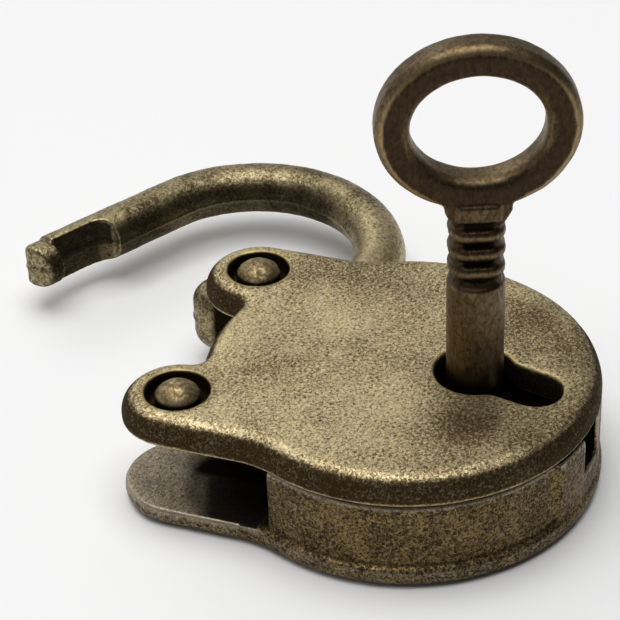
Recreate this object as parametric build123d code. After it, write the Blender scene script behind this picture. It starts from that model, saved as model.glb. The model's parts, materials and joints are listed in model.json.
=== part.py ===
from build123d import *
import os
from math import cos, hypot, pi, radians, sin, sqrt, tan

# A small two-eared padlock of cast zinc. It lies on its back with its shackle swung open and its key
# turned in the keyhole. +Z is the front plate's normal, +Y runs from the keyhole to the ears, and the
# origin is on the back face, at the centre of the round body. Sizes are millimetres and degrees.

# Tolerance for picking faces and corners by place, and how far cutters run past what they cut
pick_tolerance = 0.01
cut_overrun = 1.0

# Outline of the two plates, seen from the front
body_radius = 14.0
ear_spread = 8.13
ear_rise = 0.4
ear_radius = 4.07
forehead_rise = 0.75
valley_round = 0.8
shoulder_blend = 8.0

# Back plate, side wall and front plate
back_thick = 1.6
back_margin = 0.2
plate_gap = 5.4
front_thick = 2.2
back_round = 0.9
back_lip_round = 0.3
front_round = 1.5
front_lip_round = 0.35
wall_inset = 0.35
wall_thick = 1.5
wall_top_y = 6.9
wall_rim_round = 0.3

# Window in the wall's rim, at the foot of the body, and the flush stretch of wall round it
window_x = -0.6
window_width = 3.0
window_sill_outer_z = 3.3
window_sill_inner_z = 4.2
flush_half_angle = 20.0

# Pillar behind the forehead and the two bosses that carry the front plate
pillar_left_x = -5.2
pillar_right_x = 1.2
pillar_top_gap = 0.8
boss_angle = 25.0
boss_radius = 1.6
cover_pin_radius = 0.8
cover_pin_length = 3.0
cover_pin_bite = 1.0
pin_fit = 0.02

# Domed rivet and stud in the ears
recess_radius = 2.33
recess_floor = 0.8
dome_radius = 1.65
dome_stand = 0.6
dome_cap = 0.9
rivet_radius = 1.15
rivet_fit = 0.02
rivet_tail_radius = 1.8
rivet_tail_thick = 0.7
rivet_tail_sink = 0.15
rivet_tail_fit = 0.05
stud_shank_radius = 1.0

# Shackle, drawn closed and then swung open about the rivet
rod_radius = 2.05
toe_radius = 1.85
toe_length = 3.2
toe_bevel = 2.4
toe_inner_length = 1.2
toe_slant = 20
toe_round = 0.4
arch_radius = 10.45
arch_x = 0.25
arch_rise = 5.3
toe_drop = 10.1
notch_length = 5.4
notch_depth = 1.8
notch_round = 1.5
lug_width = 4.7
lug_start_angle = -26.0
lug_heel = 3.2
lug_end_gap = 0.15
lug_round = 1.3
pivot_fit = 0.05
shackle_open = 120.0
shackle_spare = 6.0
swing_gap = 0.15

# Keyhole
keyhole_x = 0.45
keyhole_y = -4.95
keyhole_radius = 2.9
slot_reach = 4.8
slot_radius = 1.95
slot_lean = -12.0
slot_neck_round = 1.2
keyhole_lip_round = 0.25

# Key
key_turn = 34.0
key_foot_gap = 0.3
shank_radius = 2.05
shoulder_z = 17.25
shoulder_round = 0.35
neck_radius = 1.7
collar_radius = 2.0
collar_count = 4
collar_first_z = 18.3
collar_pitch = 1.465
collar_height = 1.0
collar_round = 0.42
bow_outer_width = 13.9
bow_outer_height = 12.5
bow_inner_width = 9.1
bow_inner_height = 7.7
bow_centre_z = 29.3
bow_thick = 2.7
bow_round = 1.05
bow_root_width = 7.0
bow_root_drop = 1.0
bow_root_rise = 1.6
bow_root_waist = 2.3
bit_reach = 6.2
bit_thick = 1.9
bit_low_gap = 0.6
bit_top_gap = 0.6
bit_tip_round = 0.6

# Post that the hollow key turns on, and the ward ring over the bit
key_post_radius = 0.9
key_post_fit = 0.06
key_post_height = 4.4
key_bore_spare = 0.6
floor_bite = 0.8
ward_inner_radius = 3.05
ward_wall = 0.5
ward_depth = 0.9
ward_gap = 0.2
ward_mouth_half_angle = 40.0

# Latch that slides behind the wall, its guides and its spring
latch_fit = 0.15
latch_fingers_gap = 0.3
nose_width = 2.5
nose_flat = 0.6
nose_bevel = 1.5
nose_bite_gap = 0.4
head_width = 3.0
bar_width = 3.4
bar_left_gap = 0.4
arm_width = 1.8
arm_shank_gap = 0.3
talon_drop = 3.95
talon_round = 0.75
talon_gap = 0.15
guide_post_radius = 0.7
guide_post_fit = 0.05
guide_end_wall = 0.75
guide_spacing = 5.2
spring_y = 1.6
spring_z = 3.85
spring_outer_radius = 1.5
spring_wire_radius = 0.2
spring_turns = 4
coil_points_per_turn = 24
spring_pocket_radius = 1.7
spring_pocket_depth = 0.5
spring_end_gap = 0.05
spring_seat_x = 11.0
spring_seat_half = 2.0
spring_pin_radius = 0.75
spring_pin_reach = 2.8
spring_pin_bite = 0.9

# Levels and places that follow from the sizes above
gap_low = back_thick
gap_high = back_thick + plate_gap
front_top = gap_high + front_thick
gap_middle = (gap_low + gap_high) / 2
ear_y = body_radius + ear_rise
forehead_radius = body_radius + forehead_rise
half_width = ear_spread + ear_radius
wall_outer_radius = body_radius - wall_inset
wall_inner_radius = wall_outer_radius - wall_thick
recess_z = gap_high + recess_floor
toe_y = ear_y - toe_drop
arch_y = ear_y + arch_rise
leg_x = arch_x - arch_radius
notch_low_y = toe_y + toe_length
notch_floor_x = leg_x + rod_radius - notch_depth
bit_half = bit_thick / 2
coil_radius = spring_outer_radius - spring_wire_radius
slot_angle = -90 + slot_lean
bit_angle = slot_angle + key_turn
pivot = Pos(ear_spread, ear_y, 0)
keyhole = Pos(keyhole_x, keyhole_y, 0)


def prism(sketch, low, high):
    """A plan shape stretched from one level to another."""
    return Pos(0, 0, low) * extrude(sketch, amount=high - low)


def span(left, right, low, high):
    """A plan rectangle between two X and two Y values."""
    return Pos((left + right) / 2, (low + high) / 2) * Rectangle(right - left, high - low)


def rim(solid, level):
    """The outer edges of the solid's face at a level."""
    low, high = level - pick_tolerance, level + pick_tolerance
    faces = solid.faces().filter_by(Axis.Z).filter_by_position(Axis.Z, low, high)
    return faces.sort_by(SortBy.AREA)[-1].outer_wire().edges()


def head_outline():
    """The round body, its two ears and the forehead between them, as one face."""
    shape = Circle(body_radius)
    shape += Circle(forehead_radius) & span(-ear_spread, ear_spread, 0, 2 * ear_y)
    for side in (-1, 1):
        inner, outer = sorted((side * ear_spread, side * half_width))
        shape += span(inner, outer, 0, ear_y)
        shape += Pos(side * ear_spread, ear_y) * Circle(ear_radius)
    valleys = [v for v in shape.vertices() if abs(v.X) < ear_spread and v.Y > ear_y - ear_radius]
    shape = fillet(valleys, valley_round)
    shoulder_y = sqrt(body_radius ** 2 - half_width ** 2)
    shoulders = [v for v in shape.vertices() if abs(v.Y - shoulder_y) < pick_tolerance]
    return fillet(shoulders, shoulder_blend)


def grown(shape, margin):
    """A face grown by a margin all round, with each edge drawn afresh as a plain line or arc."""
    edges = []
    for edge in offset(shape, margin).edges():
        if edge.geom_type == GeomType.LINE:
            edges.append(Line(edge @ 0, edge @ 1))
        else:
            edges.append(ThreePointArc(edge @ 0, edge @ 0.5, edge @ 1))
    return make_face(edges)


def swing(angle):
    """The turn that swings the closed shackle open by an angle."""
    return pivot * Rot(0, 0, -angle) * pivot.inverse()


def talon_place(turn):
    """How far the talon's round tip stands right of the key's axis when the bit has turned."""
    lean = radians(slot_lean + turn)
    return (talon_round + talon_gap + bit_half + talon_drop * sin(lean)) / cos(lean)


latch_travel = talon_place(key_turn) - talon_place(0)


def cover_pin_places():
    """Plan positions of the pins that hold the front plate: one in the pillar, two in the bosses."""
    reach = wall_inner_radius - boss_radius / 2
    places = [((pillar_left_x + pillar_right_x) / 2, sum(pillar_ends()) / 2)]
    for side in (-1, 1):
        places.append((side * reach * cos(radians(boss_angle)), -reach * sin(radians(boss_angle))))
    return places


def guide_post_places():
    """Plan positions of the two posts that the latch slides on."""
    first = latch_left_x() + guide_end_wall + guide_post_radius + guide_post_fit
    return [(first + step * guide_spacing, latch_bar_y()) for step in range(2)]


def latch_left_x():
    """Left end of the latch's bar at rest, which stays off the shackle's toe when the latch is thrown."""
    return leg_x + toe_radius + bar_left_gap + latch_travel


def nose_low_y():
    """Lower side of the latch's nose, just above the closed shackle's toe."""
    return notch_low_y + latch_fingers_gap


def latch_bar_y():
    """Middle of the latch's bar, which lies just under the nose."""
    return nose_low_y() - bar_width / 2


def make_case():
    """Back plate and side wall in one casting, with the pillar, bosses, window and holes."""
    outline = head_outline()
    case = prism(grown(outline, back_margin), 0, back_thick)
    case = fillet(rim(case, 0), back_round)
    case = fillet(rim(case, back_thick), back_lip_round)
    inside = grown(outline, -wall_inset)
    hollow = grown(outline, -wall_inset - wall_thick)
    wall = prism(inside, gap_low, gap_high)
    wall = fillet(rim(wall, gap_high), wall_rim_round)
    wall -= prism(hollow, gap_low, gap_high)
    wall &= prism(span(-body_radius, body_radius, -body_radius, wall_top_y), gap_low, gap_high)
    wall += flush_stretch(hollow)
    wall += bosses_and_seat(inside)
    wall -= toe_sweep() + open_arch()
    wall -= window()
    case += wall
    case += prism(pillar_plan(), gap_low, gap_high)
    for place in cover_pin_places():
        depth = cover_pin_length - cover_pin_bite
        hole = Circle(cover_pin_radius + pin_fit)
        case -= Pos(*place) * prism(hole, gap_high - depth, gap_high)
    for place in guide_post_places():
        case -= Pos(*place) * prism(Circle(guide_post_radius + pin_fit), gap_low - floor_bite, gap_low)
    case -= keyhole * prism(Circle(key_post_radius + pin_fit), gap_low - floor_bite, gap_low)
    case -= spring_pin(pin_fit)
    case -= pivot * prism(Circle(rivet_radius + rivet_fit), 0, back_thick)
    tail_room = Circle(rivet_tail_radius + rivet_tail_fit)
    case -= pivot * prism(tail_room, 0, rivet_tail_sink + rivet_tail_thick)
    return case


def flush_stretch(hollow):
    """The stretch of wall round the window, which comes out level with the plates' edges."""
    middle = -90 + window_x / body_radius * 180 / pi
    reach = 2 * body_radius
    corners = [(0, 0)]
    for angle in (middle - flush_half_angle, middle + flush_half_angle):
        corners.append((reach * cos(radians(angle)), reach * sin(radians(angle))))
    sector = make_face(Polyline(*corners, close=True))
    return prism((Circle(body_radius) & sector) - hollow, gap_low + back_lip_round, gap_high)


def bosses_and_seat(inside):
    """The two pin bosses and the spring's flat seat, on the wall's inner side."""
    shape = span(spring_seat_x, body_radius, spring_y - spring_seat_half, spring_y + spring_seat_half)
    for place in cover_pin_places()[1:]:
        shape += Pos(*place) * Circle(boss_radius)
    return prism(shape & grown(inside, -wall_inset), gap_low, gap_high)


def pillar_ends():
    """Lower and upper Y of the pillar, from just above the latch's nose to just below the forehead."""
    return nose_low_y() + nose_width + latch_fit, ear_y - pillar_top_gap


def pillar_plan():
    """Plan of the pillar that stands between the plates behind the forehead."""
    return span(pillar_left_x, pillar_right_x, *pillar_ends())


def toe_sweep():
    """Room that the closing toe sweeps past the end of the wall."""
    corner_high = hypot(ear_spread - leg_x + toe_radius, toe_drop - toe_bevel)
    room = pivot * Circle(corner_high + swing_gap)
    room &= span(-2 * body_radius, leg_x + rod_radius, 0, 2 * ear_y)
    return prism(room, gap_low, gap_high)


def open_arch():
    """Room for the shackle's arch where it leans on the right wall's end, fully open."""
    centre = swing(shackle_open + shackle_spare) * Pos(arch_x, arch_y, 0)
    room = centre * Circle(arch_radius + rod_radius + swing_gap)
    return prism(room & span(0, 4 * body_radius, 0, 4 * body_radius), gap_low, gap_high)


def window():
    """The notch in the wall's rim at the foot of the body, with its sloping sill."""
    outer = -body_radius - cut_overrun
    inner = -wall_inner_radius + cut_overrun
    sill = (window_sill_outer_z, window_sill_inner_z)
    corners = [(outer, sill[0]), (inner, sill[1]), (inner, gap_high), (outer, gap_high)]
    side = make_face(Plane.YZ * Polyline(*corners, close=True))
    return Pos(window_x - window_width / 2, 0, 0) * extrude(side, amount=window_width, dir=(1, 0, 0))


def keyhole_plan():
    """A round hole with a leaning slot, joined by a flared neck."""
    slot_end = Rot(0, 0, slot_lean) * Pos(0, -slot_reach)
    slot = Rot(0, 0, slot_lean) * Pos(0, -slot_reach / 2) * Rectangle(2 * slot_radius, slot_reach)
    hole = Circle(keyhole_radius) + slot + slot_end * Circle(slot_radius)
    along = sqrt(keyhole_radius ** 2 - slot_radius ** 2)
    reach = hypot(slot_radius, along)
    neck = [v for v in hole.vertices() if abs(hypot(v.X, v.Y) - reach) < pick_tolerance]
    neck = [v for v in neck if v.Y < -slot_radius / 2]
    return keyhole * fillet(neck, slot_neck_round)


def make_front_plate():
    """The front plate with its rounded edge, keyhole, ear recesses and blind pin holes."""
    plate = prism(head_outline(), gap_high, front_top)
    plate = fillet(rim(plate, front_top), front_round)
    plate = fillet(rim(plate, gap_high), front_lip_round)
    plate -= prism(keyhole_plan(), gap_high, front_top)
    top = plate.faces().filter_by(Axis.Z).sort_by(Axis.Z)[-1]
    plate = fillet(top.inner_wires().edges(), keyhole_lip_round)
    for side, shank in ((1, rivet_radius + rivet_fit), (-1, stud_shank_radius + pin_fit)):
        ear = Pos(side * ear_spread, ear_y)
        plate -= ear * prism(Circle(recess_radius), recess_z, front_top)
        plate -= ear * prism(Circle(shank), gap_high, recess_z)
    for place in cover_pin_places():
        hole = Circle(cover_pin_radius + pin_fit)
        plate -= Pos(*place) * prism(hole, gap_high, gap_high + cover_pin_bite)
    return plate


def dome():
    """A round head that stands in an ear's recess, with a domed top."""
    crown_z = front_top + dome_stand
    ball = (dome_radius ** 2 + dome_cap ** 2) / (2 * dome_cap)
    head = prism(Circle(dome_radius), recess_z, crown_z)
    return head & Pos(0, 0, crown_z - ball) * Sphere(ball)


def make_shackle_rivet():
    """The pivot: a domed head, a shank through the shackle's lug and a clenched tail in the back."""
    tail_top = rivet_tail_sink + rivet_tail_thick
    rivet = dome() + prism(Circle(rivet_radius), rivet_tail_sink, recess_z)
    rivet += prism(Circle(rivet_tail_radius), rivet_tail_sink, tail_top)
    return pivot * rivet


def make_catch_ear_stud():
    """The matching domed stud, which is fixed in the front plate alone."""
    stud = dome() + prism(Circle(stud_shank_radius), gap_high, recess_z)
    return Pos(-ear_spread, ear_y) * stud


def make_cover_pins():
    """The hidden pins that hold the front plate on the case."""
    low = gap_high + cover_pin_bite - cover_pin_length
    return [Pos(*place) * prism(Circle(cover_pin_radius), low, low + cover_pin_length)
            for place in cover_pin_places()]


def closed_shackle():
    """Shackle with its free leg straight down: rod, toe, notch and the lug round the pivot."""
    leg_top = (leg_x, arch_y, gap_middle)
    leg_foot = (leg_x, notch_low_y, gap_middle)
    leg = Line(leg_foot, leg_top)
    bend = CenterArc((arch_x, arch_y, gap_middle), arch_radius, 180, lug_start_angle - 180)
    rod = sweep(Plane(leg_foot, z_dir=(0, 1, 0)) * Circle(rod_radius), path=leg + bend)
    rod += make_toe()
    notch = span(notch_floor_x, leg_x + 2 * rod_radius, notch_low_y, notch_low_y + notch_length)
    end = notch.vertices().group_by(Axis.Y)[-1].sort_by(Axis.X)[0]
    notch = fillet([end], notch_round)
    rod -= prism(notch, gap_low, gap_high)
    shackle = rod + make_lug()
    return shackle - pivot * prism(Circle(rivet_radius + pivot_fit), gap_low, gap_high)


def make_lug():
    """The thick end of the shackle, from the arch's end past the pivot to its rounded heel."""
    angle = radians(lug_start_angle)
    start = Vector(arch_x + arch_radius * cos(angle), arch_y + arch_radius * sin(angle))
    middle = Vector(ear_spread, ear_y)
    heel = middle + (middle - start).normalized() * lug_heel
    low, high = gap_low + lug_end_gap, gap_high - lug_end_gap
    lug = prism(SlotCenterPoint((start + heel) * 0.5, heel, lug_width), low, high)
    return fillet(rim(lug, low) + rim(lug, high), lug_round)


def make_toe():
    """The free leg's end below the notch, its face turned to the latch, bevelled outside to pass the wall."""
    toe = Pos(leg_x, notch_low_y, gap_middle) * Rot(90, 0, 0) * Pos(0, 0, toe_length / 2)
    toe = toe * Cylinder(toe_radius, toe_length)
    outer = leg_x - toe_radius
    past_inner, past_outer = leg_x + toe_radius + cut_overrun, outer - cut_overrun
    slope = tan(radians(toe_slant))
    inner_end = notch_low_y - toe_inner_length + cut_overrun * slope
    outer_end = inner_end - (past_inner - past_outer) * slope
    low = toe_y - cut_overrun
    face = Polyline((past_inner, inner_end), (past_outer, outer_end), (past_outer, low), (past_inner, low),
                    close=True)
    toe -= prism(make_face(face), gap_low, gap_high)
    toe = fillet(toe.edges().group_by(Axis.Y)[0], toe_round)
    corner = (outer - cut_overrun, toe_y - cut_overrun)
    leg = toe_bevel + 2 * cut_overrun
    bevel = Polyline(corner, (corner[0] + leg, corner[1]), (corner[0], corner[1] + leg), close=True)
    return toe - prism(make_face(bevel), gap_low, gap_high)


def make_shackle():
    """The shackle swung open as in use, about the rivet."""
    return swing(shackle_open) * closed_shackle()


def latch_plan():
    """Plan of the latch drawn back: nose, head and bar, with the slots for the guide posts."""
    low = latch_bar_y() - bar_width / 2
    high = nose_low_y() + nose_width
    tip = notch_floor_x + nose_bite_gap + latch_travel
    left = latch_left_x()
    right = arm_left_x() + arm_width
    nose = Polyline((tip, nose_low_y()), (left + head_width, nose_low_y()), (left + head_width, high),
                    (tip + nose_bevel, high), (tip, nose_low_y() + nose_flat), close=True)
    plan = make_face(nose) + span(left, right, low, nose_low_y())
    for x, y in guide_post_places():
        height = 2 * (guide_post_radius + guide_post_fit)
        plan -= Pos(x + latch_travel / 2, y) * SlotCenterToCenter(latch_travel, height)
    return plan


def arm_left_x():
    """Left side of the latch's arm at rest, which stays off the key's shank when the latch is thrown."""
    return keyhole_x + shank_radius + arm_shank_gap + latch_travel


def make_latch():
    """The sliding latch: nose and bar, an arm down beside the key, and the talon that the bit pushes."""
    low = gap_low + latch_fit
    arm_high = gap_high - ward_depth - ward_gap
    left = arm_left_x()
    talon_x = keyhole_x + talon_place(key_turn)
    talon_y = keyhole_y - talon_drop
    bar_low = latch_bar_y() - bar_width / 2
    latch = prism(latch_plan(), low, gap_high - latch_fit)
    arm = span(left, left + arm_width, talon_y - talon_round, bar_low)
    arm += span(talon_x, left + arm_width, talon_y - talon_round, talon_y + talon_round)
    arm += Pos(talon_x, talon_y) * Circle(talon_round)
    arm &= grown(head_outline(), -wall_inset - wall_thick - latch_fit)
    latch += prism(arm, low, arm_high)
    pocket = Pos(left + arm_width - spring_pocket_depth / 2, spring_y, spring_z) * Rot(0, 90, 0)
    return latch - pocket * Cylinder(spring_pocket_radius, spring_pocket_depth)


def make_latch_guide_posts():
    """Two posts in the back plate that keep the latch sliding straight."""
    return [Pos(*place) * prism(Circle(guide_post_radius), gap_low - floor_bite, gap_high)
            for place in guide_post_places()]


def spring_pin(fit):
    """The pin that keeps the spring in line, in its hole in the wall, grown by a fit."""
    end = spring_seat_x + spring_pin_bite
    length = spring_pin_reach + spring_pin_bite
    place = Pos(end - length / 2, spring_y, spring_z) * Rot(0, 90, 0)
    return place * Cylinder(spring_pin_radius + fit, length)


def coil_ends():
    """X of the wire's centre at the coil's two ends, just clear of the latch's pocket and the wall's seat."""
    left = arm_left_x() + arm_width - spring_pocket_depth + spring_wire_radius + spring_end_gap
    return left, spring_seat_x - spring_wire_radius - spring_end_gap


def coil_point(turns):
    """Centre of the wire after a number of turns."""
    left, right = coil_ends()
    angle = 2 * pi * turns
    across, up = coil_radius * cos(angle), coil_radius * sin(angle)
    return Vector(left + (right - left) * turns / spring_turns, spring_y + across, spring_z + up)


def coil_direction(turns):
    """Direction in which the wire runs after a number of turns."""
    left, right = coil_ends()
    angle = 2 * pi * turns
    rise = (right - left) / spring_turns / (2 * pi)
    return Vector(rise, -coil_radius * sin(angle), coil_radius * cos(angle)).normalized()


def coil_least_gap():
    """Least gap between neighbouring turns of the coil, measured on points along the wire."""
    count = spring_turns * coil_points_per_turn
    points = [coil_point(step / coil_points_per_turn) for step in range(count + 1)]
    apart = coil_points_per_turn // 2
    gaps = [(b - a).length for step, a in enumerate(points) for b in points[step + apart:]]
    return min(gaps) - 2 * spring_wire_radius


def make_latch_spring():
    """A coil that pushes the latch's arm away from the wall, wound as quarter-turn biarcs."""
    arcs = []
    for step in range(4 * spring_turns):
        start, end = coil_point(step / 4), coil_point((step + 1) / 4)
        leave, arrive = coil_direction(step / 4), coil_direction((step + 1) / 4)
        chord, both = end - start, leave + arrive
        bend = 2 * (1 - leave.dot(arrive))
        along = chord.dot(both)
        reach = (sqrt(along ** 2 + bend * chord.dot(chord)) - along) / bend
        first, second = start + leave * reach, end - arrive * reach
        middle = (first + second) * 0.5
        arcs.append(TangentArc(start, middle, tangent=leave))
        arcs.append(TangentArc(middle, end, tangent=second - first))
    wire = Plane(coil_point(0), z_dir=coil_direction(0)) * Circle(spring_wire_radius)
    return sweep(wire, path=Wire(arcs))


def make_key_post():
    """The post in the back plate that the hollow key turns on."""
    return keyhole * prism(Circle(key_post_radius), gap_low - floor_bite, gap_low + key_post_height)


def make_ward_ring():
    """The ring under the front plate that only a notched bit can pass, open where the bit goes in."""
    ring = Circle(ward_inner_radius + ward_wall) - Circle(ward_inner_radius)
    reach = 4 * ward_inner_radius
    corners = [(0, 0)]
    for side in (-1, 1):
        angle = radians(slot_angle + side * ward_mouth_half_angle)
        corners.append((reach * cos(angle), reach * sin(angle)))
    mouth = make_face(Polyline(*corners, close=True))
    return keyhole * prism(ring - mouth, gap_high - ward_depth, gap_high)


def make_key():
    """The key: a hollow shank with collars and an oval bow above, and a notched bit below."""
    foot = gap_low + key_foot_gap
    shank = prism(Circle(shank_radius), foot, shoulder_z)
    shank = fillet(rim(shank, shoulder_z), shoulder_round)
    bow_foot = bow_centre_z - bow_outer_height / 2
    key = shank + prism(Circle(neck_radius), foot, bow_foot + bow_root_rise / 2)
    for step in range(collar_count):
        middle = collar_first_z + step * collar_pitch
        collar = prism(Circle(collar_radius), middle - collar_height / 2, middle + collar_height / 2)
        key += fillet(collar.edges(), collar_round)
    key += make_bow(bow_foot) + make_bit()
    bore_top = gap_low + key_post_height + key_bore_spare
    key -= prism(Circle(key_post_radius + key_post_fit), foot, bore_top)
    return keyhole * key


def make_bow(foot):
    """The key's oval bow and its flared root, in the plane of the bit."""
    plane = Plane((0, 0, 0), x_dir=(cos(radians(bit_angle)), sin(radians(bit_angle)), 0),
                  z_dir=(sin(radians(bit_angle)), -cos(radians(bit_angle)), 0))
    ring = Ellipse(bow_outer_width / 2, bow_outer_height / 2)
    ring -= Ellipse(bow_inner_width / 2, bow_inner_height / 2)
    bow = plane * Pos(0, bow_centre_z) * ring
    bow = extrude(bow, amount=bow_thick / 2, both=True)
    bow = fillet(bow.edges(), bow_round)
    low, high = foot - bow_root_drop, foot + bow_root_rise
    root_half = bow_root_width / 2
    side = ThreePointArc((neck_radius, low), (bow_root_waist, foot), (root_half, high))
    other = mirror(side, about=Plane.YZ)
    bottom = Line((neck_radius, low), (-neck_radius, low))
    top = Line((root_half, high), (-root_half, high))
    root = plane * make_face(Curve() + [side, other, bottom, top])
    return bow + extrude(root, amount=bow_thick / 2, both=True)


def make_bit():
    """The key's bit, pointing as the key stands, with the notch that passes the ward ring."""
    low, high = gap_low + bit_low_gap, gap_high - bit_top_gap
    blade = span(-bit_half, bit_half, -bit_reach, 0)
    blade = fillet(blade.vertices().group_by(Axis.Y)[0], bit_tip_round)
    bit = prism(blade, low, high)
    notch = Circle(ward_inner_radius + ward_wall + ward_gap) - Circle(ward_inner_radius - ward_gap)
    bit -= prism(notch, gap_high - ward_depth - ward_gap, high)
    return Rot(0, 0, bit_angle + 90) * bit


NODES = {
    "case": make_case,
    "front_plate": make_front_plate,
    "cover_pins": make_cover_pins,
    "shackle_rivet": make_shackle_rivet,
    "catch_ear_stud": make_catch_ear_stud,
    "latch_guide_posts": make_latch_guide_posts,
    "latch_spring": make_latch_spring,
    "spring_guide_pin": lambda: spring_pin(0),
    "key_post": make_key_post,
    "ward_ring": make_ward_ring,
    "shackle": make_shackle,
    "latch": make_latch,
    "key": make_key,
}


def main():
    """Builds each piece and writes it to its own file."""
    os.makedirs("parts", exist_ok=True)
    for name, make in NODES.items():
        made = make()
        pieces = made if isinstance(made, list) else [made]
        solids = [solid for piece in pieces for solid in piece.solids()]
        export_step(solids[0] if len(solids) == 1 else Compound(solids), f"parts/{name}.step")
        print(name, len(solids), round(sum(solid.volume for solid in solids), 2))
    print("spring least gap", round(coil_least_gap(), 3), "mm")
    print("latch travel", round(latch_travel, 4), "mm over", key_turn, "degrees")
    print("latch metres per radian", latch_travel / 1000 / radians(key_turn))


main()
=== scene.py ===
"""Dresses the padlock, its open shackle and its key as rubbed antique bronze castings for a studio picture.
"""
import json
import logging
from collections.abc import Callable
from dataclasses import dataclass
from enum import Enum
from functools import cached_property, partial
from math import copysign, cos, radians, sin
from typing import Any

import bmesh
import bpy
import numpy as np
from mathutils import Matrix, Vector

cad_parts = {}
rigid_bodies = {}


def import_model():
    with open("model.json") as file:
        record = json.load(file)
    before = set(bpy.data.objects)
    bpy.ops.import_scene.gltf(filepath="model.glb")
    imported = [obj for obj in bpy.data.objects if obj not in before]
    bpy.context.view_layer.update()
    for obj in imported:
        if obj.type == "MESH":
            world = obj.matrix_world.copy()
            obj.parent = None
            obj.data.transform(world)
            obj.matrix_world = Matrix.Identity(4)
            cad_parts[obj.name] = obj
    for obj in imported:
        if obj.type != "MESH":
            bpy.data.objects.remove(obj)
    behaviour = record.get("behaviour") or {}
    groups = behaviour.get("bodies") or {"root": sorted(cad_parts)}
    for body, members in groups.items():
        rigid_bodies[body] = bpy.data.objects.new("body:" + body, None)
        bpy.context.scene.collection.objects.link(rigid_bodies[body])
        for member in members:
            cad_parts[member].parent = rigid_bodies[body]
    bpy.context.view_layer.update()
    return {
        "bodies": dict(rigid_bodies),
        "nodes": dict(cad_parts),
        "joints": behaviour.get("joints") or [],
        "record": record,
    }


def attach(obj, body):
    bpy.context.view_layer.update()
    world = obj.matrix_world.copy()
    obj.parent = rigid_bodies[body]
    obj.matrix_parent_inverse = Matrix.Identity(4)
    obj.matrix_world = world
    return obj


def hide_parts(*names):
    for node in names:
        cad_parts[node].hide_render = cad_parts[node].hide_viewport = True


Adder = Callable[..., bpy.types.NodeSocket | None]
Frame = dict[str, Any]
Sockets = bpy.types.bpy_prop_collection

LOG = logging.getLogger("padlock")
MM = 0.001
PICTURE_SIDE_PX = 620
SENSOR_MM = 36.0
QUARTER_TURN = radians(90)
# Each casting stores how far its points stand out, in millimetres, and what share of their view is blocked;
# the marks later raise the first with wear and painted highlights, and the second with patina and painted
# shade
RELIEF = "relief"
SHADE = "shade"
SHADE_BLUR = 8
# The rays that feel for what stands around start a little off the surface and lean from its direction
RAY_LIFT_MM = 0.05
RAY_LEANS = ((0, 0, 0), (0.8, 0, 0), (-0.8, 0, 0), (0, 0.8, 0), (0, -0.8, 0), (0, 0, 0.8), (0, 0, -0.8))
# Kinds of node that are used often
MATH = "ShaderNodeMath"
VECTOR_MATH = "ShaderNodeVectorMath"
MAP_RANGE = "ShaderNodeMapRange"
NOISE = "ShaderNodeTexNoise"
TRANSFORM = "GeometryNodeTransform"
SWEEP = "GeometryNodeCurveToMesh"
# Noise mostly keeps to this middle part of its range
NOISE_SPAN = {"From Min": 0.3, "From Max": 0.7}
GRAIN_NOISE = {"Detail": 2.0, "Roughness": 0.6, "Distortion": 0.9}
CLOUD_NOISE = {"Detail": 3.0, "Roughness": 0.6, "Distortion": 0.4}
STREAK_NOISE = {"Scale": 1.0, "Detail": 3.0, "Roughness": 0.6}
CAST_NOISE = {"Detail": 2.0, "Roughness": 0.5}
# Kinds of socket that take each kind of value
SOCKETS = {
    int: "NodeSocketInt",
    float: "NodeSocketFloat",
    tuple: "NodeSocketVector",
    bpy.types.Object: "NodeSocketObject",
    bpy.types.Material: "NodeSocketMaterial",
}


def linear(code: str) -> tuple[float, float, float, float]:
    """Turns a screen colour into the linear one that shaders use, by the standard curve of screens.

    Args:
        code: Six hex digits with a leading hash.

    Returns:
        Red, green, blue and full alpha.
    """
    full, knee, slope, lift, power = 255, 0.04045, 12.92, 0.055, 2.4
    levels = [value / full for value in bytes.fromhex(code[1:])]
    red, green, blue = (
        level / slope if level <= knee else ((level + lift) / (1 + lift)) ** power for level in levels
    )
    return red, green, blue, 1.0


def live(sockets: Sockets, name: str | None) -> bpy.types.NodeSocket | None:
    """Finds the first socket of that name, or of any name, which the node's settings leave in use."""
    return next((socket for socket in sockets if socket.enabled and name in (None, socket.name)), None)


def add_node(
    tree: bpy.types.NodeTree,
    kind: str,
    inputs: dict[str | int, Any] | None = None,
    output: str | None = None,
    **settings: Any,
) -> bpy.types.NodeSocket | None:
    """Adds a node, sets its properties and fills or links its inputs.

    Args:
        tree: Shader or geometry tree that gets the node.
        kind: Type name of the node.
        inputs: Socket names or places, each with a value or with the output socket to link.
        output: Name of the output that is wanted, if it isn't the first in use.
        settings: Property names and values.

    Returns:
        The wanted output socket, or none where the node has no outputs.
    """
    node = tree.nodes.new(kind)
    for name, value in settings.items():
        setattr(node, name, value)
    for name, value in (inputs or {}).items():
        socket = node.inputs[name] if isinstance(name, int) else live(node.inputs, name)
        if isinstance(value, bpy.types.NodeSocket):
            tree.links.new(value, socket)
        else:
            socket.default_value = value
    return live(node.outputs, output)


def new_material(name: str) -> tuple[bpy.types.Material, Adder]:
    """Makes an empty node material.

    Args:
        name: Name of the real material.

    Returns:
        The material and the function that adds its nodes.
    """
    material = bpy.data.materials.new(name)
    material.use_nodes = True
    material.node_tree.nodes.clear()
    return material, partial(add_node, material.node_tree)


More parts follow.
